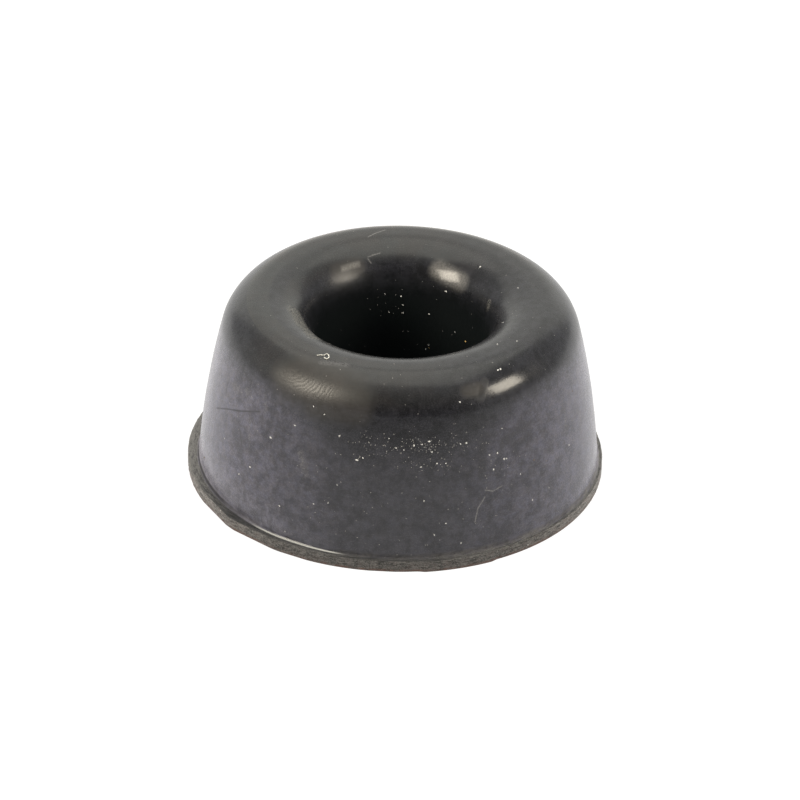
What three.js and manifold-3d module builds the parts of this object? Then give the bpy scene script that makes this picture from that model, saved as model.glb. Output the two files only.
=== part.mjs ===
// A moulded rubber bumper for a door, a drawer or a cabinet: a tapered round buffer, 38 mm across, with
// a rolled crown and a deep well. A screw goes down the well and through its floor, and its head sits on
// that floor. Round the foot runs the thin flange of flash that the mould left, a little off centre and
// roughly trimmed. The whole thing is one solid piece of rubber.
//
// Millimetres and degrees, +Z up. The origin is the middle of the screw hole on the flat base, and the
// front, which is azimuth 0, faces -Y. Azimuths are positive towards +X.

import * as THREE from "three";
import { mergeVertices } from "three/addons/utils/BufferGeometryUtils.js";
import Module from "manifold-3d";

const wasm = await Module();
wasm.setup();

// The body, from the foot to the crown. A lean is how far the surface has turned in from upright.
const BODY_HEIGHT = 17.3;
const FOOT_RADIUS = 18.25; // where the wall meets the flange
const FOOT_LEAN = 4;
const FOOT_FILLET = 0.2; // the small hollow between the wall and the flange
const SHOULDER_LEAN = 14.1; // where the wall turns into the shoulder
const SHOULDER_RADIUS = 4.33;
const CROWN_LEAN = 62; // where the shoulder turns into the tighter edge of the crown
const CROWN_RADIUS = 2.66;
const CROWN_LAND = 0.7; // width of the flat ring on top

// The well and the screw hole through its floor
const WELL_RADIUS = 7.95; // at the end of the rolled lip
const WELL_DRAFT = 1.5; // the well narrows downwards, so that the rubber comes off the mould's pin
const FLOOR_THICKNESS = 5;
const FLOOR_FILLET = 0.8;
const SCREW_HOLE_RADIUS = 2.5;
const CUTTER_CLEARANCE = 1; // how far the cutter for the hole runs past the faces that it cuts

// The flash flange, trimmed to a circle apart from a few straight cuts and two stretches that stand proud
const FLASH_WIDTH = 0.75; // how far it stands out from the foot
const FLASH_THICKNESS = 1.1;
const FLASH_SHIFT = { x: -0.29, y: 0.22 }; // from the body's axis to the middle of the flange
const STRAIGHT_CUTS = [
  { azimuth: -60, inset: 0.07 },
  { azimuth: -40, inset: 0.08 },
  { azimuth: -28, inset: 0.05 },
  { azimuth: -3, inset: 0.03 },
];
const PROUD_STRETCHES = [
  { from: -55, to: -45, proud: 0.12 },
  { from: 9, to: 27, proud: 0.15 },
];

// How finely the round shapes are divided
const BODY_SEGMENTS = 96;
const FLASH_SEGMENTS = 120;
const WALL_STEPS = 6;
const SHOULDER_STEPS = 7;
const CROWN_STEPS = 3;
const LIP_STEPS = 9;
const FILLET_STEPS = 3;

const RUBBER = new THREE.MeshStandardMaterial({ color: 0x2a2a2c, roughness: 0.5, metalness: 0 });

const { degToRad } = THREE.MathUtils;

// Points on an arc in the section plane, where x is the radius and y the height. Angle 0 points
// outwards and 90 up.
function arc(centre, radius, from, to, steps) {
  return Array.from({ length: steps + 1 }, (_, i) => {
    const angle = degToRad(from + ((to - from) * i) / steps);
    return new THREE.Vector2(centre.x + radius * Math.cos(angle), centre.y + radius * Math.sin(angle));
  });
}

// The radius of the wall's shallow arc, which takes up the height that the other arcs leave.
function wallRadius() {
  const rise = (from, to) => Math.sin(degToRad(to)) - Math.sin(degToRad(from));
  const aboveWall = SHOULDER_RADIUS * rise(SHOULDER_LEAN, CROWN_LEAN) + CROWN_RADIUS * rise(CROWN_LEAN, 90);
  return (BODY_HEIGHT - FLASH_THICKNESS - aboveWall) / rise(FOOT_LEAN, SHOULDER_LEAN);
}

// An arc that starts at a point of the section and goes on in the direction in which the surface runs there.
function arcFrom(start, radius, from, to, steps) {
  const centre = new THREE.Vector2(
    start.x - radius * Math.cos(degToRad(from)),
    start.y - radius * Math.sin(degToRad(from)),
  );
  return arc(centre, radius, from, to, steps);
}

// The outside of the section, from the flange up the wall and over the shoulder to the crown's flat ring.
function outsideOfSection() {
  const foot = new THREE.Vector2(FOOT_RADIUS, FLASH_THICKNESS);
  const wall = arcFrom(foot, wallRadius(), FOOT_LEAN, SHOULDER_LEAN, WALL_STEPS);
  const shoulder = arcFrom(wall.at(-1), SHOULDER_RADIUS, SHOULDER_LEAN, CROWN_LEAN, SHOULDER_STEPS);
  const crown = arcFrom(shoulder.at(-1), CROWN_RADIUS, CROWN_LEAN, 90, CROWN_STEPS);

  const filletCentre = new THREE.Vector2(FOOT_RADIUS + FOOT_FILLET, FLASH_THICKNESS + FOOT_FILLET);
  const fillet = arc(filletCentre, FOOT_FILLET, 270, 180 - FOOT_LEAN, FILLET_STEPS);
  return [...fillet, ...wall.slice(1), ...shoulder.slice(1), ...crown.slice(1)];
}

// The inside of the section, from the crown's flat ring down the lip and the well to the screw hole.
function insideOfSection(crownEdge) {
  const lipRadius = crownEdge.x - CROWN_LAND - WELL_RADIUS;
  const lipCentre = new THREE.Vector2(WELL_RADIUS + lipRadius, crownEdge.y - lipRadius);
  const lip = arc(lipCentre, lipRadius, 90, 180 - WELL_DRAFT, LIP_STEPS);

  const wellDepth = lipCentre.y - FLOOR_THICKNESS;
  const floorRadius = WELL_RADIUS - wellDepth * Math.tan(degToRad(WELL_DRAFT));
  const filletCentre = new THREE.Vector2(floorRadius - FLOOR_FILLET, FLOOR_THICKNESS + FLOOR_FILLET);
  const fillet = arc(filletCentre, FLOOR_FILLET, 0, -90, FILLET_STEPS);

  const holeTop = new THREE.Vector2(SCREW_HOLE_RADIUS, FLOOR_THICKNESS);
  const holeFoot = new THREE.Vector2(SCREW_HOLE_RADIUS, 0);
  return [...lip, ...fillet, holeTop, holeFoot];
}

// The body as a closed section turned about the axis, with the well and the screw hole in it.
function bodyGeometry() {
  const outside = outsideOfSection();
  const baseEdge = new THREE.Vector2(outside[0].x, 0);
  const section = [...outside, ...insideOfSection(outside.at(-1)), baseEdge, outside[0]];
  return new THREE.LatheGeometry(section, BODY_SEGMENTS).rotateX(Math.PI / 2);
}

// The flange's radius at an azimuth, measured from the middle of the flange.
function flashRadius(azimuth) {
  const trimmed = FOOT_RADIUS + FLASH_WIDTH;
  const stretch = PROUD_STRETCHES.find(({ from, to }) => azimuth >= from && azimuth <= to);
  const facing = (cut) => Math.cos(degToRad(azimuth - cut.azimuth));
  const cuts = STRAIGHT_CUTS.filter((cut) => facing(cut) > 0);
  const cutRadii = cuts.map((cut) => (trimmed - cut.inset) / facing(cut));
  return Math.min(trimmed + (stretch?.proud ?? 0), ...cutRadii);
}

// The flange's disc, from the base up to its own thickness.
function flashGeometry() {
  const outline = Array.from({ length: FLASH_SEGMENTS }, (_, i) => {
    const azimuth = (i * 360) / FLASH_SEGMENTS - 180;
    const radius = flashRadius(azimuth);
    return new THREE.Vector2(radius * Math.sin(degToRad(azimuth)), -radius * Math.cos(degToRad(azimuth)));
  });
  return new THREE.ExtrudeGeometry(new THREE.Shape(outline), {
    depth: FLASH_THICKNESS,
    bevelEnabled: false,
  }).translate(FLASH_SHIFT.x, FLASH_SHIFT.y, 0);
}

// The cutter that carries the body's screw hole through the flange's disc.
function screwHoleGeometry() {
  const length = FLASH_THICKNESS + 2 * CUTTER_CLEARANCE;
  return new THREE.CylinderGeometry(SCREW_HOLE_RADIUS, SCREW_HOLE_RADIUS, length, BODY_SEGMENTS)
    .rotateX(Math.PI / 2)
    .translate(0, 0, FLASH_THICKNESS / 2);
}

// A geometry as a solid that can be joined and cut: it keeps only its positions, with shared corners merged.
function solidOf(geometry) {
  const bare = geometry.clone();
  bare.deleteAttribute("normal");
  bare.deleteAttribute("uv");
  const merged = mergeVertices(bare);
  return new wasm.Manifold(
    new wasm.Mesh({
      numProp: 3,
      vertProperties: merged.attributes.position.array,
      triVerts: new Uint32Array(merged.index.array),
    }),
  );
}

function geometryOf(solid) {
  const mesh = solid.getMesh();
  const geometry = new THREE.BufferGeometry();
  geometry.setAttribute("position", new THREE.BufferAttribute(mesh.vertProperties, mesh.numProp));
  geometry.setIndex(new THREE.BufferAttribute(mesh.triVerts, 1));
  geometry.computeVertexNormals();
  return geometry;
}

// The body and the flange joined into one closed solid.
function rubberBumper() {
  const flange = solidOf(flashGeometry()).subtract(solidOf(screwHoleGeometry()));
  const mesh = new THREE.Mesh(geometryOf(solidOf(bodyGeometry()).add(flange)), RUBBER);
  mesh.name = "rubber_bumper";
  return mesh;
}

const part = new THREE.Group();
part.add(rubberBumper());

export default part;
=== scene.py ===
"""The looks of a moulded black rubber bumper: its fine surface, bloom, dust and scratches, painted light and
shade, and the studio.

Millimetres in the sizes below, metres in Blender, +Z up. The front is -Y. An azimuth is measured from the
front, positive towards +X. A lean is how far a normal points up from level. Both are in degrees.
"""

import math
from random import Random

import bpy
import numpy as np
from mathutils import Matrix, Vector, noise
from mathutils.bvhtree import BVHTree


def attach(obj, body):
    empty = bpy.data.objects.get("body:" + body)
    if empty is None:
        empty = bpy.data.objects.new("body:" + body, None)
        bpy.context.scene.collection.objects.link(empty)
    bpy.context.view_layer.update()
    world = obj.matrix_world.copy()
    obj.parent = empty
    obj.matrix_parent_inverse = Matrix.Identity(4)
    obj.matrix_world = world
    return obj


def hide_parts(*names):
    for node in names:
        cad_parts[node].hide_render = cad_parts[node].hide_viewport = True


MM = 0.001

# The body's section, as in the solid
BODY_HEIGHT = 17.3
FOOT_RADIUS = 18.25
FOOT_LEAN = 4
FOOT_FILLET = 0.2
SHOULDER_LEAN = 14.1
SHOULDER_RADIUS = 4.33
CROWN_LEAN = 62
CROWN_RADIUS = 2.66
CROWN_LAND = 0.7
WELL_RADIUS = 7.95
WELL_DRAFT = 1.5
FLOOR_THICKNESS = 5
FLOOR_FILLET = 0.8
SCREW_HOLE_RADIUS = 2.5

# The flange of flash, as in the solid
FLASH_WIDTH = 0.75
FLASH_THICKNESS = 1.1
FLASH_SHIFT = (-0.29, 0.22)
STRAIGHT_CUTS = ((-60, 0.07), (-40, 0.08), (-28, 0.05), (-3, 0.03))  # azimuth and inset
PROUD_STRETCHES = ((-55, -45, 0.12), (9, 27, 0.15))  # from and to azimuth, and how far it stands proud
PROUD_ENDS = 2.5  # degrees over which a proud stretch begins and ends
FLASH_EDGE_BREAK = 0.05  # how far the flange's sharp edges are rounded off

# How finely the surface is divided
SEGMENTS = 640
ROWS = {
    "underside": 8,
    "flash_edge": 9,
    "ledge": 6,
    "foot_fillet": 5,
    "wall": 26,
    "shoulder": 22,
    "crown": 10,
    "land": 2,
    "lip": 24,
    "well": 12,
    "floor_fillet": 5,
    "floor": 4,
    "hole": 4,
}

# The small unevenness of the moulding
WAVE_SIZE = 5.0
WAVE_HEIGHT = 0.015
WAVE_OCTAVES = 2
CUT_GRAIN_SIZE = 0.45
CUT_GRAIN_HEIGHT = 0.03
CUT_GRAIN_OCTAVES = 3
OCTAVE_FADE = 1.0  # how fast a noise's finer octaves fade
OCTAVE_STEP = 2.0  # how much finer each octave is

# Where the violet bloom lies on the wall: heights, azimuths and how much of it is left at the front
BLOOM_TOP_FRONT = 12.8
BLOOM_TOP_SIDE = 15.5
BLOOM_TOP_AZIMUTHS = (14, 44)  # its top rises between these
BLOOM_FADE = 3.2
# Its thickening by azimuth is partly painted light: paler sides and a darker front, as the lamps fall
BLOOM_FRONT = 0.10
BLOOM_BACK = 0.5
BLOOM_AZIMUTHS = (14, 88, 160)  # where it begins to thicken from the front, is thickest, and is thin again
# The greyed crown and lip, and the painted shade deep in the well: heights, and depths below the crown
GREY_HEIGHTS = (14.3, 15.9)
GREY_LIP_DEPTHS = (1.6, 0.7)
# How grey the crown is by azimuth
GREY_SHARES = (
    (-180, 0.7),
    (-75, 0.75),
    (-20, 0.75),
    (10, 0.45),
    (30, 0.05),
    (100, 0.1),
    (180, 0.7),
)
GREY_LIP = (0.1, 0.9)  # how grey the lip is against the crown, at its top and where it turns down
GREY_LIP_TURN = (0.1, 0.5)
GREY_LIP_BACK = (100, 130)  # the far lip is as grey as the crown
GREY_SIDES = (45, 75)  # the shoulder loses its grey between these azimuths
# Painted light: a pale halo on the crown's far rim, by azimuth and by depth below the crown
RIM_AZIMUTHS = (105, 160)  # the far rim pales between these
RIM_DEPTHS = (0.02, 0.2)
WELL_DEPTHS = (1.2, 5.5)
# Painted reflection of the floor: the wall paler at its foot, by height and azimuth, and towards its sides
FOOT_HEIGHTS = (5.2, 1.8)
FOOT_SHARES = (
    (-180, 0.4),
    (-90, 1.0),
    (-75, 0.44),
    (-60, 0.2),
    (-45, 0.16),
    (-30, 0.12),
    (-10, 0),
    (60, 0),
    (75, 0.16),
    (90, 0.8),
    (180, 0.4),
)
SIDE_EDGES = (70, 88)  # the wall is paler beyond these azimuths
SIDE_EDGE_SHARE = 0.24
# The flange: the height of the reddish-brown line at its foot, and where the hollow above it is polished. The
# degrees are those from the middle at which the polish is gone, and at which it is full.
FOOT_LINE_HEIGHT = 0.35
POLISH_MIDDLE = -29.5
POLISH_DEGREES = (16.5, 9.9)
# The crease between wall and ledge, as radius and height: a painted highlight in it, and painted shade by
# azimuth
CREASE = (18.38, 1.13)
CREASE_WIDTH = 0.10
DARK_CREASE = (18.29, 1.22)
DARK_CREASE_WIDTH = 0.22
DARK_CREASE_SHARE = 0.8
DARK_CREASE_MIDDLE = -75
DARK_CREASE_DEGREES = (26, 13)
UNDERSIDE_CUT = 0.5  # how much the underside looks like the cut edge
FILLET_DUST = 0.5  # how dusty the foot's fillet is against the ledge
# How dusty the ledge is by azimuth, with painted light and shade: lighter at the sides, darker in the crevice
LEDGE_DUST_AND_PAINTED_LIGHT = (
    (-180, 1.0),
    (-80, 1.1),
    (-65, 0.6),
    (-50, 0.16),
    (-35, 0.45),
    (-20, 0.45),
    (-5, 0.24),
    (10, 0.42),
    (25, 0.72),
    (40, 0.95),
    (55, 1.0),
    (70, 1.5),
    (180, 1.0),
)
LEDGE_ACROSS = (0.7, 1.2)  # against the wall and at the rim
# The cut edge's painted light and shade by azimuth: lighter at the sides, where the lamps fall
PAINTED_CUT_LIGHT_SHADE = (
    (-180, 1.0),
    (-80, 1.05),
    (-65, 1.04),
    (-50, 0.80),
    (-35, 0.56),
    (-20, 0.50),
    (10, 0.52),
    (25, 0.64),
    (40, 0.74),
    (55, 1.04),
    (70, 1.33),
    (180, 1.0),
)

# Crumbs of dust
CRUMB_POINTS = (
    (0, 0, 1),
    (0, 0, -1),
    (1, 0, 0),
    (0.5, 0.87, 0),
    (-0.5, 0.87, 0),
    (-1, 0, 0),
    (-0.5, -0.87, 0),
    (0.5, -0.87, 0),
)
CRUMB_UPPER_FACES = [(0, 2 + k, 2 + (k + 1) % 6) for k in range(6)]
CRUMB_FACES = CRUMB_UPPER_FACES + [(1, 2 + (k + 1) % 6, 2 + k) for k in range(6)]
SPECK_THICKNESS = 0.6
SPECK_GROWTH = 1.15
SPECK_STRETCHES = (0.7, 1.0)
SPECK_BUMPS = (0.75, 1.1)
STREWN_NORMAL = -0.2  # where loose dust lies, a polygon's unit normal has at least this height
TUBE_SIDES = 6

# The camera, from a fit to the outline in the photograph
IMAGE_SIZE = 800
CAMERA_TARGET = (0.06, 0.0, 6.53)
CAMERA_DISTANCE = 419.4
CAMERA_ELEVATION = 30.7
CAMERA_ROLL = 1.21
FOCAL_PIXELS = 4606
SENSOR_WIDTH = 36
CLIP_RANGE = (0.01, 50)

# The larger specks of dust as the camera sees them: pixel x, pixel y and width in millimetres
DUST = (
    (313.5, 406.5, 0.13),
    (324.5, 414.5, 0.12),
    (295.0, 425.5, 0.14),
    (339.5, 436.0, 0.15),
    (270.5, 437.5, 0.20),
    (357.0, 460.0, 0.21),
    (363.0, 458.0, 0.11),
    (250.0, 467.0, 0.18),
    (239.0, 474.0, 0.17),
    (313.5, 504.0, 0.12),
    (328.0, 503.0, 0.12),
    (279.5, 506.0, 0.13),
    (337.0, 485.0, 0.12),
    (220.5, 510.5, 0.13),
    (285.0, 531.5, 0.12),
    (224.5, 438.5, 0.13),
    (466.5, 443.0, 0.17),
    (460.5, 444.0, 0.13),
    (429.5, 441.5, 0.16),
    (414.0, 445.5, 0.14),
    (422.0, 444.5, 0.11),
    (396.0, 448.0, 0.13),
    (389.0, 438.5, 0.12),
    (404.0, 450.0, 0.12),
    (432.0, 452.0, 0.12),
    (502.0, 428.5, 0.13),
    (497.5, 453.0, 0.16),
    (504.0, 459.0, 0.17),
    (506.5, 458.5, 0.14),
    (489.5, 455.0, 0.12),
    (493.5, 469.5, 0.16),
    (437.0, 463.5, 0.14),
    (446.0, 463.5, 0.11),
    (421.0, 467.0, 0.11),
    (424.0, 501.0, 0.12),
    (532.5, 500.0, 0.14),
    (549.0, 487.5, 0.14),
    (520.5, 474.0, 0.12),
    (569.0, 445.0, 0.13),
    (461.0, 543.0, 0.13),
    (446.0, 523.5, 0.13),
    (434.5, 535.0, 0.11),
    (528.0, 545.0, 0.12),
    (498.0, 370.0, 0.16),
    (500.5, 369.0, 0.18),
    (460.0, 402.0, 0.14),
    (517.0, 341.0, 0.12),
    (497.5, 344.0, 0.12),
    (503.0, 322.5, 0.13),
    (518.0, 288.0, 0.12),
    (480.0, 267.0, 0.18),
    (446.0, 291.5, 0.18),
    (401.0, 296.5, 0.17),
    (403.0, 305.0, 0.13),
    (403.0, 313.0, 0.14),
    (385.0, 294.0, 0.12),
    (389.0, 312.0, 0.11),
    (429.0, 314.0, 0.15),
    (455.0, 332.0, 0.14),
    (428.5, 345.0, 0.13),
    (426.0, 349.0, 0.12),
)
# Darker bits: brown in the wall's bloom, and yellow in the well
BROWN_BITS = ((534.0, 460.0, 0.15), (546.0, 461.0, 0.13), (572.5, 391.0, 0.16), (204.5, 457.5, 0.15))
YELLOW_BITS = ((465.5, 341.5, 0.19), (429.0, 348.0, 0.12))
# Fine dust that lies in drifts: pixel x and y of the middle, spread to the side and up, and how many bits
DRIFTS = (
    (432, 445, 22, 5, 60),
    (400, 449, 26, 7, 50),
    (368, 443, 12, 8, 30),
    (430, 464, 22, 5, 40),
    (500, 458, 14, 9, 16),
    (465, 435, 25, 6, 16),
    (565, 420, 0.8, 8, 9),
    (572, 405, 5, 20, 10),
    (390, 304, 8, 9, 12),
    (240, 390, 14, 8, 18),
    (330, 510, 45, 22, 30),
    (500, 500, 45, 25, 40),
)
LOOSE_BITS = 520  # fine dust strewn over the whole outside
FINE_WIDTHS = (0.04, 0.10)
DUST_SEED = 7
BITS_SEED = 8
FINE_DUST_SEED = 9

# The one fibre on the crown: a straight tail and a loop
FIBRE_TAIL = ((317.0, 355.6), (320.5, 355.2), (324.0, 355.6))
FIBRE_LOOP = (326.6, 356.7)
FIBRE_LOOP_PIXELS = 2.4
FIBRE_LOOP_TURNS = range(20, 341, 20)
FIBRE_WIDTH = 0.09
FIBRE_LIFT = 0.8  # how high its middle lies, in radii

# Marks as strokes from pixel to pixel, each with its half-width in millimetres
GLOSSY = (((493, 387), (524, 376), 1.2), ((436, 269), (461, 284), 1.5))
RUBBED = (
    ((293, 378), (348, 397), 2.2),
    ((316, 402), (356, 409), 1.5),
    ((338, 272), (357, 265), 0.8),
    ((467, 391), (478, 388), 0.6),
)
SWIRLED = (((288, 377), (324, 389), 1.1),)
MATT = (((481, 397), (485, 381), 0.35),)
SMEARED = (
    ((505, 442), (530, 422), 0.50),
    ((516, 447), (530, 435), 0.40),
    ((383, 522), (386, 533), 0.30),
    ((484, 436), (482, 474), 0.45),
    ((236, 432), (240, 455), 0.45),
)
DARK_LINES = (
    ((217, 408), (228, 409), (240, 411), (250, 411.5), (260, 411.5)),
    ((240, 430), (241, 438), (242, 447)),
    ((228, 382), (226, 394)),
    ((218, 447), (219, 450)),
    ((204, 457), (205, 458)),
    ((466, 474), (468, 477)),
)
DARK_LINE_WIDTH = 0.12
PALE_STREAKS = (
    ((250, 414), (249, 446), 0.10),
    ((265, 396), (266, 410), 0.13),
    ((233, 385), (238, 391), 0.20),
    ((246, 390), (251, 398), 0.20),
    ((565, 410), (565, 430), 0.10),
    ((322, 362), (346, 365), 0.30),
    ((300, 452), (306, 474), 0.30),
    ((191, 453), (195, 453), 0.12),
)
# Painted highlights: pale patches on the far lip where the lamps' reflections lie
PAINTED_HIGHLIGHT_STROKES = (((439, 270), (460, 282), 0.9), ((343, 269), (358, 264), 0.25))
FLECKED = (((295, 312), (304, 327), 0.8), ((304, 327), (314, 337), 0.7), ((489, 302), (488, 308), 0.25))
HAIRLINES = (
    ((475, 522), (478, 508), (485, 497)),
    ((485, 490), (493, 491), (502, 486)),
    ((368, 237), (376, 233), (385, 230)),
    ((368, 257), (373, 255), (380, 253)),
    ((368, 259), (371, 263)),
)
HAIRLINE_WIDTH = 0.08
LINE_CORE = 3  # a thin line is full within a third of its half-width
SWIRL_CENTRE = (296, 366)
# The film of dust in the material: cells to the millimetre, the size of a dot within a cell, and its strength
FILM_CELLS = 4.0
FILM_DOT = 0.26
FILM_SHARE = 0.09
FILM_CHOSEN = (0.45, 1.0)  # cells with a lower random value have no dot, and with the higher a full one
# How strongly the mottling shows where the crown is grey, and where the bloom is thick
CROWN_CALM = 0.35
BLOOM_CALM = 0.42
STROKE_STEPS = 28
STROKE_EDGES = (1.4, 0.5)  # half-widths at which a stroke ends, and within which it is full


def sine(degrees):
    return math.sin(math.radians(degrees))


def cosine(degrees):
    return math.cos(math.radians(degrees))


def arc(start, radius, lean_from, lean_to, steps):
    """Points of radius and height on an arc that goes on from start, without start itself."""
    leans = np.linspace(lean_from, lean_to, steps + 1)[1:]
    return [
        (
            start[0] + radius * (cosine(lean) - cosine(lean_from)),
            start[1] + radius * (sine(lean) - sine(lean_from)),
        )
        for lean in leans
    ]


def line(start, end, steps):
    """Evenly spaced points from start to end, without start itself."""
    return [
        (start[0] + (end[0] - start[0]) * i / steps, start[1] + (end[1] - start[1]) * i / steps)
        for i in range(1, steps + 1)
    ]


def body_section():
    """The section from the wall over the crown and down the well to the hole's foot, as named stretches."""
    shoulder_rise = SHOULDER_RADIUS * (sine(CROWN_LEAN) - sine(SHOULDER_LEAN))
    crown_rise = CROWN_RADIUS * (1 - sine(CROWN_LEAN))
    wall_rise = BODY_HEIGHT - FLASH_THICKNESS - shoulder_rise - crown_rise
    wall_radius = wall_rise / (sine(SHOULDER_LEAN) - sine(FOOT_LEAN))

    foot = (FOOT_RADIUS, FLASH_THICKNESS)
    wall = arc(foot, wall_radius, FOOT_LEAN, SHOULDER_LEAN, ROWS["wall"])
    stretches = {"wall": wall}
    stretches["shoulder"] = arc(wall[-1], SHOULDER_RADIUS, SHOULDER_LEAN, CROWN_LEAN, ROWS["shoulder"])
    stretches["crown"] = arc(stretches["shoulder"][-1], CROWN_RADIUS, CROWN_LEAN, 90, ROWS["crown"])

    crown_edge = stretches["crown"][-1]
    land_end = (crown_edge[0] - CROWN_LAND, crown_edge[1])
    stretches["land"] = line(crown_edge, land_end, ROWS["land"])
    lip_radius = land_end[0] - WELL_RADIUS
    stretches["lip"] = arc(land_end, lip_radius, 90, 180 - WELL_DRAFT, ROWS["lip"])

    lip_end = stretches["lip"][-1]
    fillet_top = FLOOR_THICKNESS + FLOOR_FILLET
    floor_radius = lip_end[0] - (lip_end[1] - fillet_top) * math.tan(math.radians(WELL_DRAFT))
    stretches["well"] = line(lip_end, (floor_radius, fillet_top), ROWS["well"])
    stretches["floor_fillet"] = arc((floor_radius, fillet_top), FLOOR_FILLET, 0, -90, ROWS["floor_fillet"])
    hole_top = (SCREW_HOLE_RADIUS, FLOOR_THICKNESS)
    stretches["floor"] = line(stretches["floor_fillet"][-1], hole_top, ROWS["floor"])
    stretches["hole"] = line(hole_top, (SCREW_HOLE_RADIUS, 0), ROWS["hole"])
    return stretches


def flash_radius(azimuth):
    """The flange's radius at an azimuth from -180 to 180, from the middle of the flange."""
    trimmed = FOOT_RADIUS + FLASH_WIDTH
    proud = sum(
        by * fade(azimuth, start - PROUD_ENDS, start) * fade(azimuth, end + PROUD_ENDS, end)
        for start, end, by in PROUD_STRETCHES
    )
    facing = [(cosine(azimuth - cut), inset) for cut, inset in STRAIGHT_CUTS]
    return min([trimmed + proud] + [(trimmed - inset) / turned for turned, inset in facing if turned > 0])


def polish(azimuths):
    """How polished the foot's fillet is at each azimuth, from 0 to 1."""
    return fade(np.abs(azimuths - POLISH_MIDDLE), *POLISH_DEGREES)


def directions(azimuths):
    """The unit vectors at the azimuths, seen from above."""
    turns = np.radians(azimuths)
    return np.stack([np.sin(turns), -np.cos(turns)], 1)


def ring(outline, height):
    """A closed row of points at one height, from an outline of x and y."""
    return np.column_stack([outline, np.full(len(outline), height)])


def between(low, high, share):
    return low + (high - low) * share


def surface_rows():
    """The rows of the whole surface, one closed loop in section, and the name of each row's stretch."""
    azimuths = np.arange(SEGMENTS) * 360 / SEGMENTS - 180
    facing = directions(azimuths)
    radii = np.array([flash_radius(azimuth) for azimuth in azimuths])[:, None]
    rim = np.array(FLASH_SHIFT) + radii * facing
    inner_rim = np.array(FLASH_SHIFT) + (radii - FLASH_EDGE_BREAK) * facing
    foot = (FOOT_RADIUS + FOOT_FILLET) * facing
    hole = SCREW_HOLE_RADIUS * facing

    rows, names = [], []
    for i in range(1, ROWS["underside"] + 1):
        rows.append(ring(between(hole, inner_rim, i / ROWS["underside"]), 0.0))
        names.append("underside")
    for i in range(ROWS["flash_edge"] + 1):
        share = i / ROWS["flash_edge"]
        rows.append(ring(rim, between(FLASH_EDGE_BREAK, FLASH_THICKNESS - FLASH_EDGE_BREAK, share)))
        names.append("flash_edge")
    for i in range(ROWS["ledge"] + 1):
        rows.append(ring(between(inner_rim, foot, i / ROWS["ledge"]), FLASH_THICKNESS))
        names.append("ledge")
    for across, up in arc((1, 0), 1, -90, -180 - FOOT_LEAN, ROWS["foot_fillet"]):
        height = FLASH_THICKNESS + up * FOOT_FILLET
        rows.append(ring((FOOT_RADIUS + across * FOOT_FILLET) * facing, height))
        names.append("foot_fillet")
    for name, points in body_section().items():
        for radius, height in points:
            rows.append(ring(radius * facing, height))
            names.append(name)
    return np.array(rows), names


def row_normals(rows):
    """Outward normals of a grid of rows that is closed both ways."""
    along = np.roll(rows, -1, 0) - np.roll(rows, 1, 0)
    around = np.roll(rows, -1, 1) - np.roll(rows, 1, 1)
    normals = np.cross(around, along)
    return normals / np.linalg.norm(normals, axis=2, keepdims=True)


def noise_field(rows, size, octaves):
    """Fractal noise from about -1 to 1 at every point of the grid."""
    flat = (rows / size).reshape(-1, 3)
    values = [noise.fractal(Vector(point), OCTAVE_FADE, OCTAVE_STEP, octaves) for point in flat]
    return np.array(values).reshape(rows.shape[:2])


def uneven(rows, names):
    """The rows with the moulding's soft waves, and with the torn grain of the flange's ledge and cut edge."""
    waves = WAVE_HEIGHT * noise_field(rows, WAVE_SIZE, WAVE_OCTAVES)
    grain = CUT_GRAIN_HEIGHT * (noise_field(rows, CUT_GRAIN_SIZE, CUT_GRAIN_OCTAVES) - 1)
    moulded = {"wall", "shoulder", "crown", "land", "lip", "well"}
    height = np.zeros(rows.shape[:2])
    for i, name in enumerate(names):
        if name in moulded:
            height[i] = waves[i]
        elif name in {"flash_edge", "ledge"}:
            height[i] = grain[i]
    return rows + row_normals(rows) * height[:, :, None]


def grid_mesh(name, rows):
    """A mesh of quads over a grid of rows that is closed both ways."""
    count, segments = rows.shape[:2]
    row, column = np.meshgrid(np.arange(count), np.arange(segments), indexing="ij")
    next_row, next_column = (row + 1) % count, (column + 1) % segments
    corners = [(row, column), (row, next_column), (next_row, next_column), (next_row, column)]
    quads = np.stack([r * segments + c for r, c in corners], -1).reshape(-1, 4)
    mesh = bpy.data.meshes.new(name)
    mesh.from_pydata((rows.reshape(-1, 3) * MM).tolist(), [], quads.tolist())
    mesh.update()
    mesh.polygons.foreach_set("use_smooth", [True] * len(mesh.polygons))
    return mesh


def add_object(name, mesh):
    piece = bpy.data.objects.new(name, mesh)
    bpy.context.scene.collection.objects.link(piece)
    return piece


def paint(mesh, name, values):
    """Stores one number for each point of the mesh, for the material to read."""
    attribute = mesh.attributes.new(name, "FLOAT", "POINT")
    attribute.data.foreach_set("value", np.asarray(values, np.float32).ravel())


def fade(values, start, end):
    """0 up to start, 1 from end on, and smooth between. Start may be the larger."""
    share = np.clip((values - start) / (end - start), 0, 1)
    return share * share * (3 - 2 * share)


class Sight:
    """Finds the point of a surface that the camera sees at a pixel of the photograph's frame."""

    def __init__(self, mesh):
        points = [vertex.co for vertex in mesh.vertices]
        self.tree = BVHTree.FromPolygons(points, [polygon.vertices for polygon in mesh.polygons])
        self.right, self.up, self.back = camera_axes()
        self.eye = (Vector(CAMERA_TARGET) + self.back * CAMERA_DISTANCE) * MM

    def at(self, x, y):
        """The point in metres and the normal, or None for both beside the surface."""
        across, down = x - IMAGE_SIZE / 2, y - IMAGE_SIZE / 2
        towards = self.right * across - self.up * down - self.back * FOCAL_PIXELS
        return self.tree.ray_cast(self.eye, towards.normalized())[:2]


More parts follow.
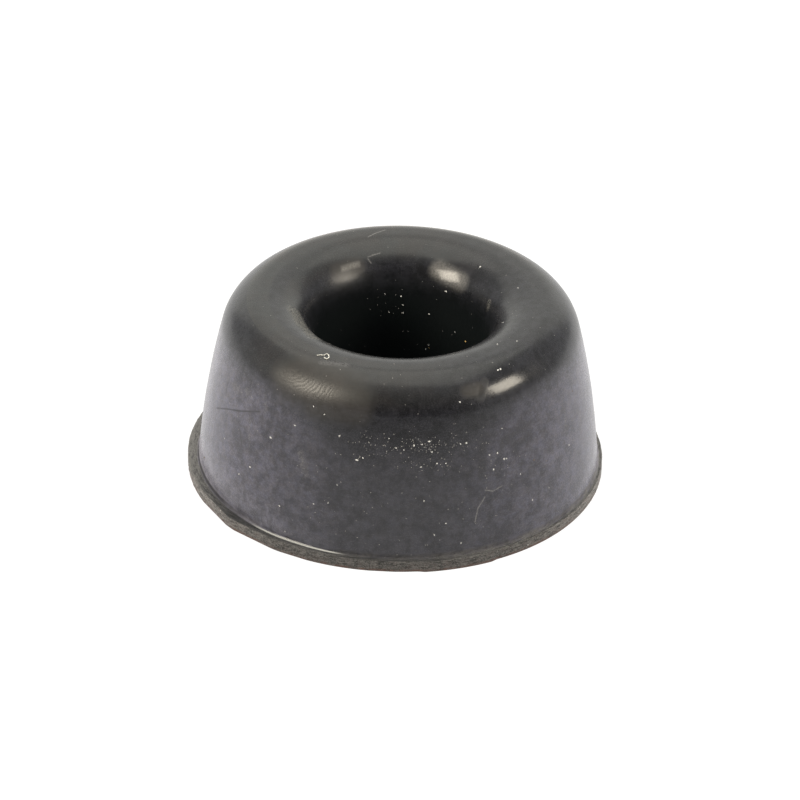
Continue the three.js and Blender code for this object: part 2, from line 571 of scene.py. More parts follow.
def in_strokes(sight, points, strokes):
    """How much each point, in millimetres, lies in one of the strokes, from 0 to 1."""
    mask = np.zeros(len(points))
    for start, end, width in strokes:
        shares = np.linspace(0, 1, STROKE_STEPS)
        pixels = [(between(start[0], end[0], s), between(start[1], end[1], s)) for s in shares]
        places = [np.array(sight.at(*pixel)[0]) / MM for pixel in pixels]
        distance = np.min([np.linalg.norm(points - place, axis=1) for place in places], axis=0)
        mask = np.maximum(mask, fade(distance / width, *STROKE_EDGES))
    return mask


def bumper():
    rows, names = surface_rows()
    rows = uneven(rows, names)
    mesh = grid_mesh("rubber_bumper_surface", rows)
    sight = Sight(mesh)
    paint_masks(mesh, rows, names, sight)
    return add_object("rubber_bumper_surface", mesh), sight


def paint_masks(mesh, rows, names, sight):
    """Paints where the flange, the bloom, the greyed crown, the well and the marks are, with the painted
    light, shade, highlights and reflections among them.
    """
    on = {name: np.array([n == name for n in names], float)[:, None] for name in set(names)}
    whole = np.ones(rows.shape[:2])
    height = rows[:, :, 2]
    azimuth = signed_azimuth(rows)
    turned = np.abs(azimuth)
    # Painted light: the bloom grows thicker and paler towards the sides, where the lamps light the wall
    side = np.interp(turned, BLOOM_AZIMUTHS, (0, 1, BLOOM_BACK))

    outside = on["wall"] + on["shoulder"] + on["foot_fillet"]
    bloom_top = between(BLOOM_TOP_FRONT, BLOOM_TOP_SIDE, fade(turned, *BLOOM_TOP_AZIMUTHS))
    bloom_and_painted_side_light = outside * fade(height, bloom_top, bloom_top - BLOOM_FADE) * between(BLOOM_FRONT, 1, side)
    paint(mesh, "bloom_and_painted_side_light", bloom_and_painted_side_light)

    lip_depth = BODY_HEIGHT - height
    outer = on["shoulder"] * fade(turned, *GREY_SIDES[::-1]) + on["crown"] + on["land"]
    outer = outer * fade(height, *GREY_HEIGHTS)
    lip_share = between(*GREY_LIP, fade(lip_depth, *GREY_LIP_TURN))
    lip_share = np.maximum(lip_share, fade(turned, *GREY_LIP_BACK))
    lip = on["lip"] * lip_share * fade(lip_depth, *GREY_LIP_DEPTHS)
    paint(mesh, "greyed", (outer + lip) * by_azimuth(GREY_SHARES, azimuth))
    # Painted light: a pale halo along the crown's far rim
    paint(mesh, "painted_rim_halo", on["crown"] * fade(turned, *RIM_AZIMUTHS) * fade(lip_depth, *RIM_DEPTHS))
    # Painted reflection: the floor seen at a grazing view, paler at the wall's foot and at its far sides
    painted_grazing_reflection = fade(height, *FOOT_HEIGHTS) * by_azimuth(FOOT_SHARES, azimuth)
    side_edge = SIDE_EDGE_SHARE * fade(turned, *SIDE_EDGES)
    paint(mesh, "painted_grazing_reflection", outside * np.maximum(painted_grazing_reflection, side_edge))
    # Painted shade: the well darkens with depth below the crown
    inner = on["lip"] + on["well"] + on["floor_fillet"] + on["floor"] + on["hole"]
    paint(mesh, "well", inner * fade(lip_depth, *WELL_DEPTHS))

    cut = on["flash_edge"] + on["underside"] * UNDERSIDE_CUT
    paint(mesh, "cut", cut * whole)
    # Painted light and shade on the cut edge, by azimuth
    paint(mesh, "painted_cut_light_shade", by_azimuth(PAINTED_CUT_LIGHT_SHADE, azimuth))
    polished = on["foot_fillet"] * polish(azimuth)
    paint(mesh, "polished", polished)
    # Painted highlight in the crease, along the stretch where the hollow is polished
    paint(mesh, "painted_crease_highlight", polish(azimuth))
    # Painted shade in the crease on a stretch round -75 degrees
    paint(mesh, "dark_crease", fade(np.abs(azimuth - DARK_CREASE_MIDDLE), *DARK_CREASE_DEGREES))
    gritty_fillet = on["foot_fillet"] * (1 - polished)
    foot = FOOT_RADIUS + FOOT_FILLET
    across = (np.hypot(rows[:, :, 0], rows[:, :, 1]) - foot) / (FLASH_WIDTH - FOOT_FILLET)
    dusty = on["ledge"] * between(*LEDGE_ACROSS, np.clip(across, 0, 1)) + FILLET_DUST * gritty_fillet
    # Ledge dust with painted light and shade by azimuth
    paint(mesh, "ledge", dusty * by_azimuth(LEDGE_DUST_AND_PAINTED_LIGHT, azimuth))
    paint(mesh, "ledge_grit", (on["ledge"] + gritty_fillet) * whole)
    paint(mesh, "red_brown_foot_line", on["flash_edge"] * fade(height, FOOT_LINE_HEIGHT, 0))

    points = rows.reshape(-1, 3)
    marks = {
        "glossy": GLOSSY,
        "rubbed": RUBBED,
        "swirled": SWIRLED,
        "matt": MATT,
        "painted_highlight": PAINTED_HIGHLIGHT_STROKES,
        "smeared": SMEARED,
        "streaked": PALE_STREAKS,
        "flecked": FLECKED,
    }
    for name, strokes in marks.items():
        paint(mesh, name, in_strokes(sight, points, strokes))


def signed_azimuth(rows):
    return np.degrees(np.arctan2(rows[:, :, 0], -rows[:, :, 1]))


def by_azimuth(table, azimuths):
    """The table's shares at the azimuths."""
    return np.interp(azimuths, *zip(*table))


def join_shapes(shapes):
    """One list of points and one of faces from several."""
    points, faces = [], []
    for shape_points, shape_faces in shapes:
        faces += [[corner + len(points) for corner in face] for face in shape_faces]
        points += shape_points
    return points, faces


def speck(place, normal, width, random):
    """A small irregular crumb that lies on the surface, as points and faces."""
    turn = normal.to_track_quat("Z", "Y").to_matrix() @ Matrix.Rotation(random.uniform(0, math.tau), 3, "Z")
    stretch = random.uniform(*SPECK_STRETCHES)
    sizes = Vector((width / stretch, width * stretch, width * SPECK_THICKNESS)) / 2 * MM
    points = []
    for corner in CRUMB_POINTS:
        bumped = Vector(corner) * random.uniform(*SPECK_BUMPS)
        points.append(place + turn @ Vector([a * b for a, b in zip(bumped, sizes)]))
    return points, CRUMB_FACES


def dust(sight):
    """The larger specks, each where the photograph shows it."""
    random = Random(DUST_SEED)
    shapes = [speck(*sight.at(x, y), width * SPECK_GROWTH, random) for x, y, width in DUST]
    return piece_of("dust_specks", *join_shapes(shapes))


def fine_dust(sight, surface):
    """The fine dust: the drifts, and the bits strewn over the outside."""
    random = Random(FINE_DUST_SEED)
    shapes = []
    for x, y, spread_x, spread_y, count in DRIFTS:
        for _ in range(count):
            place, normal = sight.at(random.gauss(x, spread_x), random.gauss(y, spread_y))
            if place is not None:
                shapes.append(speck(place, normal, random.uniform(*FINE_WIDTHS), random))
    above_ledge = [p for p in surface.polygons if p.center.z > FLASH_THICKNESS * MM]
    outside = [p for p in above_ledge if p.normal.z > STREWN_NORMAL]
    for polygon in random.choices(outside, [p.area for p in outside], k=LOOSE_BITS):
        shapes.append(speck(polygon.center, polygon.normal, random.uniform(*FINE_WIDTHS), random))
    return piece_of("fine_dust", *join_shapes(shapes))


def tinted_bits(name, sight, bits):
    random = Random(BITS_SEED)
    return piece_of(name, *join_shapes([speck(*sight.at(x, y), width, random) for x, y, width in bits]))


def piece_of(name, points, faces):
    mesh = bpy.data.meshes.new(name)
    mesh.from_pydata(points, [], faces)
    mesh.update()
    return add_object(name, mesh)


def fibre(sight):
    """The fibre as a thin tube that follows the surface along its tail and round its loop."""
    loop = [
        (FIBRE_LOOP[0] - FIBRE_LOOP_PIXELS * cosine(turn), FIBRE_LOOP[1] - FIBRE_LOOP_PIXELS * sine(turn))
        for turn in FIBRE_LOOP_TURNS
    ]
    seen = [sight.at(x, y) for x, y in (*FIBRE_TAIL, *loop)]
    radius = FIBRE_WIDTH / 2 * MM
    path = [place + normal * radius * FIBRE_LIFT for place, normal in seen]
    points, faces = [], []
    for i, (place, (_, normal)) in enumerate(zip(path, seen)):
        ahead = (path[min(i + 1, len(path) - 1)] - path[max(i - 1, 0)]).normalized()
        across = ahead.cross(normal).normalized()
        lift = across.cross(ahead)
        for k in range(TUBE_SIDES):
            turn = k * 360 / TUBE_SIDES
            points.append(place + (across * cosine(turn) + lift * sine(turn)) * radius)
    for i in range(len(path) - 1):
        for k in range(TUBE_SIDES):
            a, b = i * TUBE_SIDES + k, i * TUBE_SIDES + (k + 1) % TUBE_SIDES
            faces.append((a, b, b + TUBE_SIDES, a + TUBE_SIDES))
    last = (len(path) - 1) * TUBE_SIDES
    faces.append(tuple(range(TUBE_SIDES))[::-1])
    faces.append(tuple(last + k for k in range(TUBE_SIDES)))
    piece = piece_of("lint_fibre", points, faces)
    piece.data.polygons.foreach_set("use_smooth", [True] * len(faces))
    return piece


class Graph:
    """Adds nodes to a material or world, and links what it is given."""

    def __init__(self, owner):
        owner.use_nodes = True
        self.tree = owner.node_tree
        self.tree.nodes.clear()

    def node(self, kind, inputs=None, **settings):
        node = self.tree.nodes.new(kind)
        for name, value in settings.items():
            setattr(node, name, value)
        for key, value in (inputs or {}).items():
            if isinstance(value, bpy.types.NodeSocket):
                self.tree.links.new(value, node.inputs[key])
            else:
                node.inputs[key].default_value = value
        return node

    def math(self, operation, *values):
        return self.node("ShaderNodeMath", dict(enumerate(values)), operation=operation).outputs[0]

    def times(self, a, b):
        return self.math("MULTIPLY", a, b)

    def vector(self, operation, *vectors):
        return self.node("ShaderNodeVectorMath", dict(enumerate(vectors)), operation=operation).outputs[0]

    def measure(self, operation, *vectors):
        """A number from one or two vectors, such as a length."""
        node = self.node("ShaderNodeVectorMath", dict(enumerate(vectors)), operation=operation)
        return node.outputs["Value"]

    def scale(self, vector, by):
        return self.node("ShaderNodeVectorMath", {0: vector, "Scale": by}, operation="SCALE").outputs[0]

    def ramp(self, value, low, high, to_low=0.0, to_high=1.0):
        """The value stretched from low..high to to_low..to_high, with smooth ends."""
        inputs = {"Value": value, "From Min": low, "From Max": high, "To Min": to_low, "To Max": to_high}
        return self.node("ShaderNodeMapRange", inputs, interpolation_type="SMOOTHSTEP").outputs["Result"]

    def mix(self, factor, a, b):
        """Two colours mixed. The node's sockets for numbers and vectors stand before those for colours."""
        return self.node("ShaderNodeMix", {0: factor, 6: a, 7: b}, data_type="RGBA").outputs[2]

    def noise(self, vector, scale, detail, roughness):
        inputs = {"Vector": vector, "Scale": scale, "Detail": detail, "Roughness": roughness}
        return self.node("ShaderNodeTexNoise", inputs).outputs["Fac"]

    def attribute(self, name):
        return self.node("ShaderNodeAttribute", attribute_name=name).outputs["Fac"]

    def millimetres(self):
        """The shaded point's place on the object."""
        place = self.node("ShaderNodeTexCoord").outputs["Object"]
        return self.vector("MULTIPLY", place, (1 / MM, 1 / MM, 1 / MM))

    def principled(self, inputs):
        """Makes a principled shader with these inputs the material's surface."""
        shader = self.node("ShaderNodeBsdfPrincipled", inputs)
        self.node("ShaderNodeOutputMaterial", {"Surface": shader.outputs[0]})


def colour(red, green, blue):
    return (red, green, blue, 1.0)


def grey(level):
    return colour(level, level, level)


RUBBER = colour(0.0158, 0.016, 0.0200)
GREYED_COOL = colour(0.0272, 0.0289, 0.0292)
GREYED_WARM = colour(0.0308, 0.0287, 0.0272)
# Painted light for the halo on the far rim
PAINTED_HALO_COLOUR = colour(0.105, 0.090, 0.080)
BLOOM = colour(0.1175, 0.1175, 0.171)
BLOOM_BROWN = colour(0.119, 0.111, 0.141)
# Painted reflection: the pale lilac of the floor seen in the wall at a grazing view
PAINTED_REFLECTION_COLOUR = colour(0.41, 0.403, 0.485)
# Painted highlight colour for the far lip
PAINTED_HIGHLIGHT_COLOUR = colour(0.25, 0.24, 0.225)
# Painted shade for the deep well
PAINTED_WELL_SHADE = colour(0.006, 0.0085, 0.0095)
CUT_LIGHT = colour(0.290, 0.283, 0.278)
CUT_DARK = colour(0.025, 0.025, 0.024)
CUT_BROWN = colour(0.115, 0.096, 0.093)
RED_BROWN_FOOT_LINE = colour(0.13, 0.066, 0.050)
LEDGE_DUST = colour(0.188, 0.184, 0.178)
# Painted highlight for the pale line in the crease
PAINTED_CREASE_HIGHLIGHT = colour(0.52, 0.525, 0.51)
SMEAR = colour(0.012, 0.012, 0.013)
PALE = colour(0.15, 0.145, 0.15)
RUBBED_COLOUR = colour(0.12, 0.10, 0.075)
SCRATCH = colour(0.24, 0.235, 0.235)
FLECK = colour(0.24, 0.23, 0.205)
FILM_SPECK = colour(0.30, 0.29, 0.285)
FINE_COLOUR = colour(0.40, 0.39, 0.38)
DUST_COLOUR = colour(0.93, 0.92, 0.90)
BROWN_COLOUR = colour(0.20, 0.13, 0.06)
YELLOW_COLOUR = colour(0.85, 0.55, 0.20)
FIBRE_COLOUR = colour(0.80, 0.80, 0.75)


# The rubber's noises: how x, y and z are stretched, then scale, detail and roughness
NOISES = {
    "patches": ((1, 1, 1), 0.30, 3, 0.6),
    "cloud": ((1, 1, 1), 0.75, 2.2, 1.0),
    "tints": ((1.1, 1.1, 1.6), 1.1, 3, 0.9),
    "grain": ((1, 1, 1), 6.0, 3, 0.6),
    "grit": ((1, 1, 1), 8.0, 3, 0.8),
    "scuffs": ((0.8, 0.8, 4.0), 1.0, 2, 0.8),
    "layers": ((1.4, 1.4, 9.0), 1.0, 3, 0.7),
    "streaks": ((3.5, 3.5, 0.35), 1.0, 3, 0.6),
}
SCRAPES_FINER = 8.0  # how much finer the ledge's scrapes are across it than along it
SCRAPES_NOISE = (1.0, 3, 0.7)
SWIRL_WAVES = {"Scale": 0.9, "Distortion": 9.0, "Detail": 2.5, "Detail Scale": 1.0}
TORN = {"grit": 0.55, "layers": 0.45}  # the cut edge's grain

# How a noise or mask shades or tints: its name, its range, and what it gives at the range's ends
RANGES = {
    "bloom_patches": ("patches", 0.32, 0.66, 0.89, 1.11),
    "bloom_streaks": ("streaks", 0.3, 0.7, 0.95, 1.05),
    "bloom_tints": ("tints", 0.36, 0.64, 0, 1),
    "grey_tints": ("patches", 0.36, 0.62, 0, 1),
    "clouds": ("cloud", 0.32, 0.68, 0.60, 1.40),
    "scuffing": ("scuffs", 0.3, 0.7, 0.88, 1.12),
    "crown_calm": ("greyed", 0.0, 0.6, 1.0, CROWN_CALM),
    "bloom_calm": ("bloom_and_painted_side_light", 0.4, 1.0, 1.0, BLOOM_CALM),
    "ledge_dust": ("grit", 0.36, 0.6, 0.35, 1.15),
    "ledge_scrapes": ("scrapes", 0.36, 0.62, 0.35, 1.5),
    "cut_tints": ("tints", 0.42, 0.6, 0, 1),
    "cut_grain": ("torn", 0.42, 0.62, 0, 1),
    "swirling": ("swirls", 0.2, 0.8, -0.5, 0.5),
    "fleck_grain": ("grain", 0.4, 0.6, 0, 1),
    "roughness": ("grain", 0.3, 0.7, 0.255, 0.285),
}
# The marks in the order in which they lie: mask, the noise that breaks it up, the noise's range, how strong
# the mark is at the range's ends, and its colour
MARKS = (
    ("smeared", "cloud", (0.40, 0.55), (0.2, 0.5), SMEAR),
    ("dark_lines", "cloud", (0.38, 0.55), (0.3, 0.7), SMEAR),
    ("streaked", "grain", (0.35, 0.65), (0.05, 0.5), PALE),
    ("rubbed", "grain", (0, 1), (0.13, 0.13), RUBBED_COLOUR),
    # Painted highlights on the far lip
    ("painted_highlight", "grain", (0.38, 0.62), (0.4, 0.65), PAINTED_HIGHLIGHT_COLOUR),
    ("hairlines", "grain", (0.3, 0.6), (0.25, 0.65), SCRATCH),
    ("film", "greyed", (0, 0.6), (FILM_SHARE, FILM_SHARE / 4), FILM_SPECK),
    ("flecked", "grit", (0.49, 0.57), (0, 1), FLECK),
)
FOOT_LINE_MARK = ("red_brown_foot_line", "cloud", (0.42, 0.56), (0.25, 0.9), RED_BROWN_FOOT_LINE)
# How much rougher each mask makes the rubber, and how much it raises it
ROUGHER = {
    "rubbed": 0.115,
    "swirl_waves": 0.10,
    "matt": 0.3,
    "dark_lines": 0.15,
    "glossy": -0.09,
    "well": 0.12,
    "rough_flecks": 0.25,
    "gritty": 0.42,
    "polished": -0.1,
    "crease_shade": 0.3,
}
RAISED = {
    "grain": 0.25,
    "swirl_waves": 0.30,
    "cloud": 0.75,
    "fleck_grit": 4.0,
    "edge_grit": 2.0,
}
BUMP_STRENGTH = 0.25
BUMP_DEPTH = 0.03
# The crumbs' mottling: scale, detail and roughness of its noise, the noise's range, and the darkest shade
CRUMB_NOISE = (2.5, 2, 0.7)
CRUMB_RANGE = (0.35, 0.65)
CRUMB_SHADE = 0.7
CRUMB_ROUGHNESS = 0.85


class Rubber(Graph):
    """The rubber's nodes. Noises, thin lines and the masks painted on the mesh are found by name."""

    def __init__(self, material, sight):
        super().__init__(material)
        self.mm = self.millimetres()
        self.radius = self.measure("LENGTH", self.vector("MULTIPLY", self.mm, (1, 1, 0)))
        self.height = self.node("ShaderNodeSeparateXYZ", {0: self.mm}).outputs["Z"]
        self.named = {
            name: self.noise(self.vector("MULTIPLY", self.mm, stretch), *values)
            for name, (stretch, *values) in NOISES.items()
        }
        across = self.node("ShaderNodeCombineXYZ", {"X": self.times(self.radius, SCRAPES_FINER)}).outputs[0]
        self.named["scrapes"] = self.noise(self.vector("ADD", across, self.mm), *SCRAPES_NOISE)
        self.named["torn"] = self.add_up(0.0, TORN)
        self.named["swirls"] = self.rings(sight.at(*SWIRL_CENTRE)[0] / MM)
        self.named["film"] = self.film()
        self.named["dark_lines"] = self.thin_lines(sight, DARK_LINES, DARK_LINE_WIDTH)
        self.named["hairlines"] = self.thin_lines(sight, HAIRLINES, HAIRLINE_WIDTH)
        self.named["gritty"] = self.math("ADD", self.get("cut"), self.get("ledge_grit"))
        self.named["edge_grit"] = self.times(self.get("gritty"), self.get("grit"))
        self.named["fleck_grit"] = self.times(self.get("flecked"), self.get("grit"))
        self.named["rough_flecks"] = self.times(self.get("flecked"), self.ranged("fleck_grain"))
        self.named["swirl_waves"] = self.times(self.get("swirled"), self.ranged("swirling"))
        # Painted shade in the crease above the ledge
        dark_ring = self.near_ring(DARK_CREASE, DARK_CREASE_WIDTH)
        self.named["crease_shade"] = self.times(dark_ring, self.get("dark_crease"))

    def get(self, name):
        if name not in self.named:
            self.named[name] = self.attribute(name)
        return self.named[name]

    def ranged(self, name):
        """A noise or mask as RANGES stretches it."""
        source, *stretch = RANGES[name]
        return self.ramp(self.get(source), *stretch)

    def add_up(self, start, weights):
        """The start value with each named value added, times its weight."""
        total = start
        for name, weight in weights.items():
            total = self.math("MULTIPLY_ADD", self.get(name), weight, total)
        return total

    def marked(self, base, mask, noise_name, noise_range, shares, tint):
        """The base colour with a mark on it that a noise breaks up."""
        broken = self.ramp(self.get(noise_name), *noise_range, *shares)
        return self.mix(self.times(self.get(mask), broken), base, tint)

    def rings(self, centre):
        """Wavy rings round a point."""
        inputs = {"Vector": self.vector("SUBTRACT", self.mm, tuple(centre)), **SWIRL_WAVES}
        settings = {"wave_type": "RINGS", "rings_direction": "SPHERICAL"}
        return self.node("ShaderNodeTexWave", inputs, **settings).outputs["Fac"]

    def film(self):
        """1 on sparse dots of the film of dust that lies on everything, and 0 elsewhere."""
        cells = self.node("ShaderNodeTexVoronoi", {"Vector": self.mm, "Scale": FILM_CELLS}).outputs
        dots = self.ramp(cells["Distance"], FILM_DOT, FILM_DOT / 2)
        chosen = self.node("ShaderNodeSeparateColor", {0: cells["Color"]}).outputs[0]
        return self.times(dots, self.ramp(chosen, *FILM_CHOSEN))

    def near_ring(self, place, width):
        """1 near the circle round the axis at a radius and height, and 0 elsewhere."""
        across = self.math("SUBTRACT", self.radius, place[0])
        up = self.math("SUBTRACT", self.height, place[1])
        offset = self.node("ShaderNodeCombineXYZ", {"X": across, "Y": up}).outputs[0]
        return self.ramp(self.measure("LENGTH", offset), width, width / LINE_CORE)

    def from_line(self, start, end):
        """The distance in millimetres to the straight line between two points."""
        length = (end - start).length
        ahead = tuple((end - start) / length)
        offset = self.vector("SUBTRACT", self.mm, tuple(start))
        along = self.math("MAXIMUM", self.measure("DOT_PRODUCT", offset, ahead), 0.0)
        nearest = self.scale(ahead, self.math("MINIMUM", along, length))
        return self.measure("LENGTH", self.vector("SUBTRACT", offset, nearest))

    def thin_lines(self, sight, lines, width):
        """1 on the thin lines and 0 elsewhere."""
        distances = []
        for pixels in lines:
            places = [sight.at(*pixel)[0] / MM for pixel in pixels]
            distances += [self.from_line(start, end) for start, end in zip(places, places[1:])]
        nearest = distances[0]
        for distance in distances[1:]:
            nearest = self.math("MINIMUM", nearest, distance)
        return self.ramp(nearest, width, width / LINE_CORE)


def bloomed_with_painted_light(rubber):
    """The black rubber's colour with its greyed crown, its violet bloom with painted side light, and the
    painted reflection at the wall's foot and sides.
    """
    greyed_colour = rubber.mix(rubber.ranged("grey_tints"), GREYED_COOL, GREYED_WARM)
    base = rubber.mix(rubber.get("greyed"), RUBBER, greyed_colour)
    # Painted halo on the far rim
    base = rubber.mix(rubber.get("painted_rim_halo"), base, PAINTED_HALO_COLOUR)
    bloom_colour = rubber.mix(rubber.ranged("bloom_tints"), BLOOM_BROWN, BLOOM)
    # Painted reflection of the floor at the wall's foot and sides
    bloom_colour = rubber.mix(rubber.get("painted_grazing_reflection"), bloom_colour, PAINTED_REFLECTION_COLOUR)
    shade = rubber.times(rubber.ranged("bloom_patches"), rubber.ranged("bloom_streaks"))
    # The bloom, with painted side light in its mask
    return rubber.mix(rubber.times(rubber.get("bloom_and_painted_side_light"), shade), base, bloom_colour)


def mottled(rubber, base):
    """The colour with soft clouds and scuffs, calmer on the greyed crown and in thick bloom."""
    shade = rubber.times(rubber.ranged("clouds"), rubber.ranged("scuffing"))
    strength = rubber.times(rubber.ranged("crown_calm"), rubber.ranged("bloom_calm"))
    shade = rubber.math("MULTIPLY_ADD", rubber.math("SUBTRACT", shade, 1.0), strength, 1.0)
    return rubber.scale(base, shade)


def with_flange(rubber, base):
    """The colour with the dusty ledge and the torn cut edge, both with painted light and shade by azimuth,
    the painted shade and painted highlight in the crease above the ledge, and the reddish-brown line at the
    foot.
    """
    dusty = rubber.times(rubber.ranged("ledge_dust"), rubber.ranged("ledge_scrapes"))
    base = rubber.mix(rubber.times(rubber.get("ledge"), dusty), base, LEDGE_DUST)
    cut_colour = rubber.mix(rubber.ranged("cut_tints"), CUT_DARK, CUT_BROWN)
    cut_colour = rubber.mix(rubber.ranged("cut_grain"), cut_colour, CUT_LIGHT)
    # The cut edge with its painted light and shade by azimuth
    base = rubber.mix(rubber.get("cut"), base, rubber.scale(cut_colour, rubber.get("painted_cut_light_shade")))
    # Painted shade in the crease
    base = rubber.mix(rubber.times(rubber.get("crease_shade"), DARK_CREASE_SHARE), base, RUBBER)
    # Painted highlight: a pale line in the crease where the lamp's reflection falls
    painted_highlight_ring = rubber.near_ring(CREASE, CREASE_WIDTH)
    base = rubber.mix(rubber.times(painted_highlight_ring, rubber.get("painted_crease_highlight")), base, PAINTED_CREASE_HIGHLIGHT)
    return rubber.marked(base, *FOOT_LINE_MARK)


def rubber_material(sight):
    """Black rubber with its violet bloom, greyed crown, painted shade in the well, gritty cut flange,
    scratches, marks, painted highlights and reflections.
    """
    material = bpy.data.materials.new("moulded_rubber")
    rubber = Rubber(material, sight)
    base = mottled(rubber, bloomed_with_painted_light(rubber))
    for mark in MARKS:
        base = rubber.marked(base, *mark)
    # Painted shade deep in the well, then the flange
    base = with_flange(rubber, rubber.mix(rubber.get("well"), base, PAINTED_WELL_SHADE))
    rough = rubber.add_up(rubber.ranged("roughness"), ROUGHER)
    raised = {"Height": rubber.add_up(0.0, RAISED), "Strength": BUMP_STRENGTH, "Distance": BUMP_DEPTH * MM}
    bump = rubber.node("ShaderNodeBump", raised)
    rubber.principled({"Base Color": base, "Roughness": rough, "Normal": bump.outputs[0]})
    return material


def crumb_material(name, tint):
    """Matt mineral dust whose colour varies from crumb to crumb."""
    material = bpy.data.materials.new(name)
    graph = Graph(material)
    shade = graph.ramp(graph.noise(graph.millimetres(), *CRUMB_NOISE), *CRUMB_RANGE)
    base = graph.mix(shade, colour(*(CRUMB_SHADE * value for value in tint[:3])), tint)
    graph.principled({"Base Color": base, "Roughness": CRUMB_ROUGHNESS})
    return material


def camera_axes():
    """The camera's right, up and backward axes."""
    back = Vector((0, -cosine(CAMERA_ELEVATION), sine(CAMERA_ELEVATION)))
    level_up = Vector((0, sine(CAMERA_ELEVATION), cosine(CAMERA_ELEVATION)))
    level_right = Vector((1, 0, 0))
    right = cosine(CAMERA_ROLL) * level_right + sine(CAMERA_ROLL) * level_up
    up = cosine(CAMERA_ROLL) * level_up - sine(CAMERA_ROLL) * level_right
    return right, up, back


def add_camera():
    right, up, back = camera_axes()
    data = bpy.data.cameras.new("camera")
    data.sensor_fit = "HORIZONTAL"
    data.sensor_width = SENSOR_WIDTH
    data.lens = FOCAL_PIXELS / IMAGE_SIZE * SENSOR_WIDTH
    data.clip_start, data.clip_end = CLIP_RANGE
    camera = bpy.data.objects.new("camera", data)
    rotation = Matrix((right, up, back)).transposed().to_4x4()
    place = (Vector(CAMERA_TARGET) + back * CAMERA_DISTANCE) * MM
    camera.matrix_world = Matrix.Translation(place) @ rotation
    bpy.context.scene.collection.objects.link(camera)
    bpy.context.scene.camera = camera


FLOOR_REACH = 3.0  # metres to the sides and to the back
FLOOR_FRONT = 0.14  # metres to its front edge, where the dark camera side begins
FLOOR_GLOW = 0.88  # what a camera or glossy ray sees of the floor besides its lit colour
FLOOR_LIT = 0.20
FLOOR_WHITE = 0.80


def add_floor():
    mesh = bpy.data.meshes.new("floor")
    sides = (-FLOOR_REACH, FLOOR_REACH)
    points = [(x, y, 0) for y in (-FLOOR_FRONT, FLOOR_REACH) for x in sides]
    mesh.from_pydata(points, [], [(0, 1, 3, 2)])
    floor = add_object("floor", mesh)
    material = bpy.data.materials.new("white_floor")
    graph = Graph(material)
    path = graph.node("ShaderNodeLightPath").outputs
    seen = graph.math("MAXIMUM", path["Is Camera Ray"], path["Is Glossy Ray"])
    seen = graph.math("MAXIMUM", seen, path["Is Transmission Ray"])
    lit = graph.node("ShaderNodeBsdfDiffuse", {"Color": grey(FLOOR_WHITE)})
    faint = graph.node("ShaderNodeBsdfDiffuse", {"Color": grey(FLOOR_LIT)})
    glow = graph.node("ShaderNodeEmission", {"Strength": FLOOR_GLOW})
    white = graph.node("ShaderNodeAddShader", {0: faint.outputs[0], 1: glow.outputs[0]})
    shader = graph.node("ShaderNodeMixShader", {0: seen, 1: lit.outputs[0], 2: white.outputs[0]})
    graph.node("ShaderNodeOutputMaterial", {"Surface": shader.outputs[0]})
    mesh.materials.append(material)


# The studio: a white room that is dark on the camera's side, soft panels round the object and two lamps. Each
# has the direction it stands in, its distance and size in metres, and its brightness when looked at.
ROOM_LEVEL = 0.48
DARK_LEVEL = 0.016
DARK_ELEVATION = 12
DARK_ANGLES = (60, 25)  # degrees from its middle at which the dark begins, and at which it is full
LAMPS = {
    "panel_top": {"azimuth": 180, "elevation": 78, "distance": 0.8, "size": (0.9, 0.8), "radiance": 1.45},
    "panel_back": {"azimuth": 180, "elevation": 24, "distance": 0.9, "size": (1.4, 0.84), "radiance": 0.63},
    "panel_left": {"azimuth": -100, "elevation": 12, "distance": 0.8, "size": (0.9, 0.5), "radiance": 0.15},
    "lamp_left": {"azimuth": -60, "elevation": 31, "distance": 0.7, "size": (0.27, 0.27), "radiance": 14.0},
    "lamp_right": {"azimuth": 73, "elevation": 29, "distance": 0.7, "size": (0.26, 0.22), "radiance": 11.6},
}
LAMP_COLOUR = (1.0, 0.91, 0.76)
PANEL_COLOUR = (1.0, 0.99, 0.885)


def direction_to(azimuth, elevation):
    return Vector((sine(azimuth) * cosine(elevation), -cosine(azimuth) * cosine(elevation), sine(elevation)))


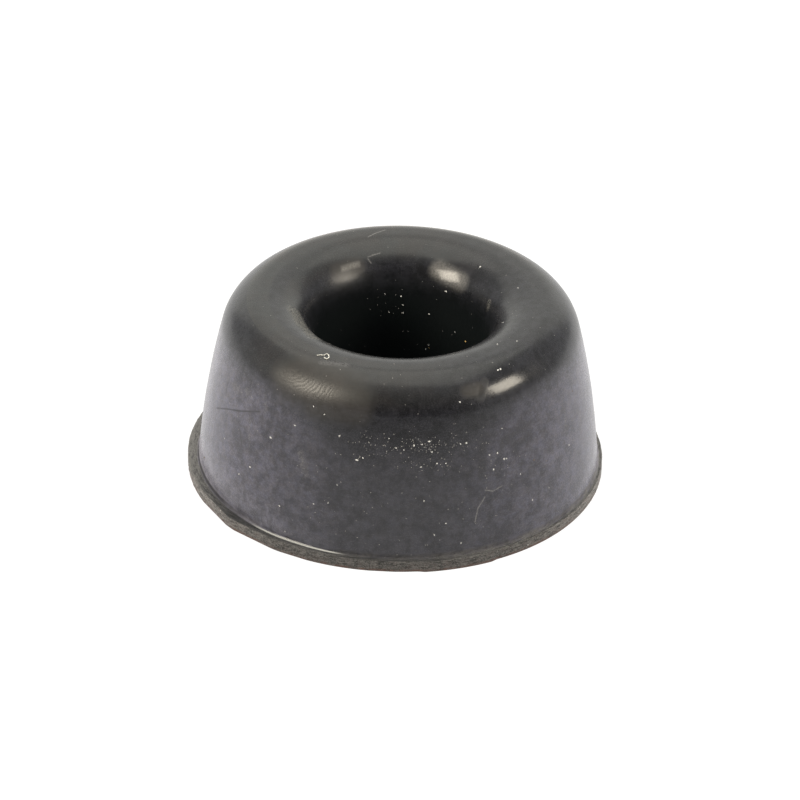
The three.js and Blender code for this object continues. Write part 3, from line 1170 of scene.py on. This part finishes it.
def add_lamp(name, azimuth, elevation, distance, size, radiance):
    """A rectangular lamp that faces the object."""
    width, height = size
    data = bpy.data.lights.new(name, "AREA")
    data.shape = "RECTANGLE"
    data.size, data.size_y = width, height
    data.color = LAMP_COLOUR if name.startswith("lamp") else PANEL_COLOUR
    data.energy = radiance * math.pi * width * height
    lamp = bpy.data.objects.new(name, data)
    towards = direction_to(azimuth, elevation)
    lamp.location = towards * distance
    lamp.rotation_euler = towards.to_track_quat("Z", "Y").to_euler()
    lamp.visible_camera = False
    bpy.context.scene.collection.objects.link(lamp)


def add_room():
    world = bpy.data.worlds.new("studio")
    bpy.context.scene.world = world
    graph = Graph(world)
    direction = graph.node("ShaderNodeTexCoord").outputs["Generated"]
    towards_dark = graph.measure("DOT_PRODUCT", direction, direction_to(0, DARK_ELEVATION))
    dark_edges = [cosine(angle) for angle in DARK_ANGLES]
    level = graph.ramp(towards_dark, *dark_edges, ROOM_LEVEL, DARK_LEVEL)
    path = graph.node("ShaderNodeLightPath").outputs
    level = graph.math("MAXIMUM", level, path["Is Camera Ray"])
    background = graph.node("ShaderNodeBackground", {"Color": grey(1.0), "Strength": level})
    graph.node("ShaderNodeOutputWorld", {"Surface": background.outputs[0]})


def add_studio():
    add_floor()
    add_room()
    for name, lamp in LAMPS.items():
        add_lamp(name, **lamp)
    bpy.context.scene.view_settings.view_transform = "Standard"


def corners(bounds):
    return [[float(value) for value in corner] for corner in bounds]


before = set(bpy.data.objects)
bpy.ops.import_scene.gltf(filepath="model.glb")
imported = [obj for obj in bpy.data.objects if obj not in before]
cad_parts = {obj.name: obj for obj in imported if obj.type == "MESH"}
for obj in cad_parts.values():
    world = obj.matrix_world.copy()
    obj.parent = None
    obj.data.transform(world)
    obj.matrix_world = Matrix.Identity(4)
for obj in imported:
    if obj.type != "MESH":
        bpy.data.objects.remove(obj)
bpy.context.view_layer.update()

add_camera()
add_studio()

surface, sight = bumper()
surface.data.materials.append(rubber_material(sight))
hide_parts("rubber_bumper")
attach(surface, "root")

small_pieces = (
    (dust(sight), "mineral_dust", DUST_COLOUR),
    (fine_dust(sight, surface.data), "grey_dust", FINE_COLOUR),
    (tinted_bits("brown_bits", sight, BROWN_BITS), "brown_dust", BROWN_COLOUR),
    (tinted_bits("yellow_bits", sight, YELLOW_BITS), "yellow_dust", YELLOW_COLOUR),
    (fibre(sight), "pale_lint", FIBRE_COLOUR),
)
for piece, material_name, tint in small_pieces:
    piece.data.materials.append(crumb_material(material_name, tint))
    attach(piece, "root")
